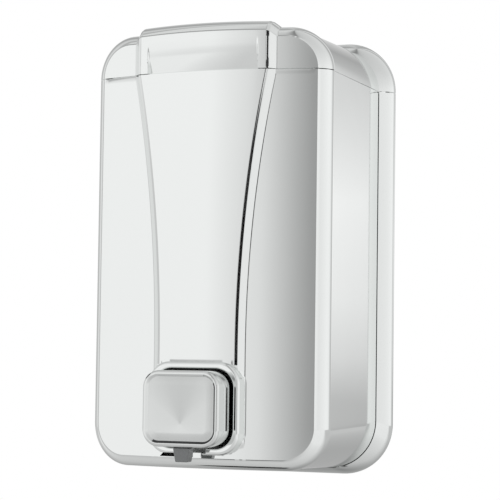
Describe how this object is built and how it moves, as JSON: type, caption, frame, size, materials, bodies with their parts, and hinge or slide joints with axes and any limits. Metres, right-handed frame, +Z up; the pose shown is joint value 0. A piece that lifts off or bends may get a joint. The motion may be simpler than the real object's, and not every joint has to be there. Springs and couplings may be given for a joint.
{
  "type": "soap dispenser",
  "caption": "Wall-mounted soap dispenser in bright chrome with a bowed front, a raised tie-shaped panel, a square push button over a nozzle, and a lid that tips up for filling.",
  "frame": {"origin": "centre of the back face of the rear cover, which lies on the wall", "axes": "+X to the viewer's right, +Y into the wall, so the front faces -Y, +Z up"},
  "size_m": [0.1286, 0.1185, 0.216],
  "materials": {
    "bright_chrome": "bright chrome plating on moulded plastic",
    "satin_chrome": "satin chrome plating on moulded plastic",
    "light_grey_plastic": "moulded, matt",
    "mid_grey_plastic": "moulded, polished",
    "natural_plastic": "natural, slightly milky",
    "white_plastic": "moulded, smooth",
    "black_rubber": "moulded, matt",
    "zinc_steel": "zinc plated",
    "spring_steel": "drawn wire, smooth"
  },
  "bodies": {
    "housing": {"rear_cover": "bright_chrome", "front_cover": "bright_chrome", "soap_tank": "natural_plastic", "tank_gasket": "black_rubber", "inlet_valve": "black_rubber", "pump_body": "white_plastic", "pump_carrier": "light_grey_plastic", "return_spring": "spring_steel", "carrier_screw_top_left": "zinc_steel", "carrier_screw_low_left": "zinc_steel", "pump_screw_left": "zinc_steel", "cover_screw_left": "zinc_steel", "carrier_screw_top_right": "zinc_steel", "carrier_screw_low_right": "zinc_steel", "pump_screw_right": "zinc_steel", "cover_screw_right": "zinc_steel"},
    "lid": {"lid": "bright_chrome", "hinge_pin_left": "zinc_steel", "hinge_pin_right": "zinc_steel"},
    "button": {"push_button": "satin_chrome", "piston_rod": "white_plastic", "piston_cup": "black_rubber", "nozzle": "mid_grey_plastic", "outlet_valve": "black_rubber"}
  },
  "joints": [
    {"name": "lid_hinge", "type": "hinge", "parent": "housing", "child": "lid", "pos_m": [0, -0.0065, 0.1015], "axis": [-1, 0, 0], "range_deg": [0, 85]},
    {"name": "button_slide", "type": "slide", "parent": "housing", "child": "button", "axis": [0, 1, 0], "range_m": [0, 0.0115], "stiffness_N_per_m": 400, "springref_m": -0.005, "deforming": ["return_spring"]}
  ]
}
